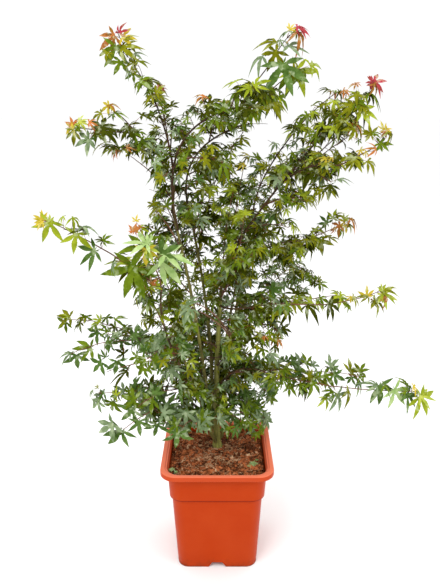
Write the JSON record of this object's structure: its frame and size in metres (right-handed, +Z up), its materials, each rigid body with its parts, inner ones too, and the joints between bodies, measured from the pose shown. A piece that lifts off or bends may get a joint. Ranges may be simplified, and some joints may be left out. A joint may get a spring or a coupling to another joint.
{
  "type": "potted japanese maple",
  "caption": "Young multi-stemmed Japanese maple with lobed leaves turning from green to orange, growing in a tapered square plastic pot.",
  "frame": {"origin": "middle of the pot's flat underside, at the mount base", "axes": "+Z up along the plant's height, -Y towards the front of the pot, +X to the right seen from the front"},
  "size_m": [0.9228, 0.8058, 1.2309],
  "materials": {
    "terracotta plastic": "satin moulded plastic",
    "compost": "coarse damp bark and coir compost",
    "bark": "thin olive bark",
    "deep leaf": "thin green leaves",
    "fresh leaf": "thin yellow-green leaves",
    "bronze leaf": "thin leaves turning orange-bronze"
  },
  "bodies": {
    "root": {"pot": "terracotta plastic", "soil": "compost", "trunk": "bark", "stem_front_left": "bark", "stem_outer_left": "bark", "stem_right": "bark", "stem_back": "bark", "stem_left": "bark", "bough_top_left": "bark", "bough_top": "bark", "bough_upper_left": "bark", "bough_crown": "bark", "bough_shoulder": "bark", "bough_shoulder_back": "bark", "bough_outer_right": "bark", "bough_right": "bark", "bough_mid_right": "bark", "bough_low_right": "bark", "bough_left": "bark", "bough_mid_left": "bark", "bough_low_left": "bark", "bough_back_left": "bark", "bough_back_right": "bark", "bough_front": "bark", "tuft_top_left": "bronze leaf", "spray_left_shoulder": "deep leaf", "spray_upper_left": "fresh leaf", "tuft_upper_left": "bronze leaf", "spray_under_left": "deep leaf", "spray_crown_left": "deep leaf", "tuft_top": "deep leaf", "tuft_crown_right": "deep leaf", "spray_crown": "bronze leaf", "spray_crown_middle": "deep leaf", "tuft_right_shoulder": "bronze leaf", "spray_shoulder_back": "fresh leaf", "tuft_outer_right": "bronze leaf", "spray_outer_right": "deep leaf", "spray_shoulder": "fresh leaf", "spray_middle": "deep leaf", "tuft_left": "fresh leaf", "spray_middle_left": "deep leaf", "spray_middle_back": "deep leaf", "tuft_right": "fresh leaf", "spray_right_back": "deep leaf", "tuft_mid_right": "fresh leaf", "spray_mid_right": "deep leaf", "tuft_low_right": "fresh leaf", "spray_foot_right": "deep leaf", "spray_foot": "deep leaf", "tuft_low_left": "deep leaf", "spray_low_left": "fresh leaf", "spray_foot_left": "deep leaf", "tuft_mid_left": "fresh leaf", "spray_mid_left": "deep leaf", "spray_low_middle_left": "deep leaf", "tuft_far_left": "fresh leaf", "spray_front": "fresh leaf", "spray_back_left": "deep leaf", "spray_back_right": "deep leaf"}
  },
  "joints": []
}
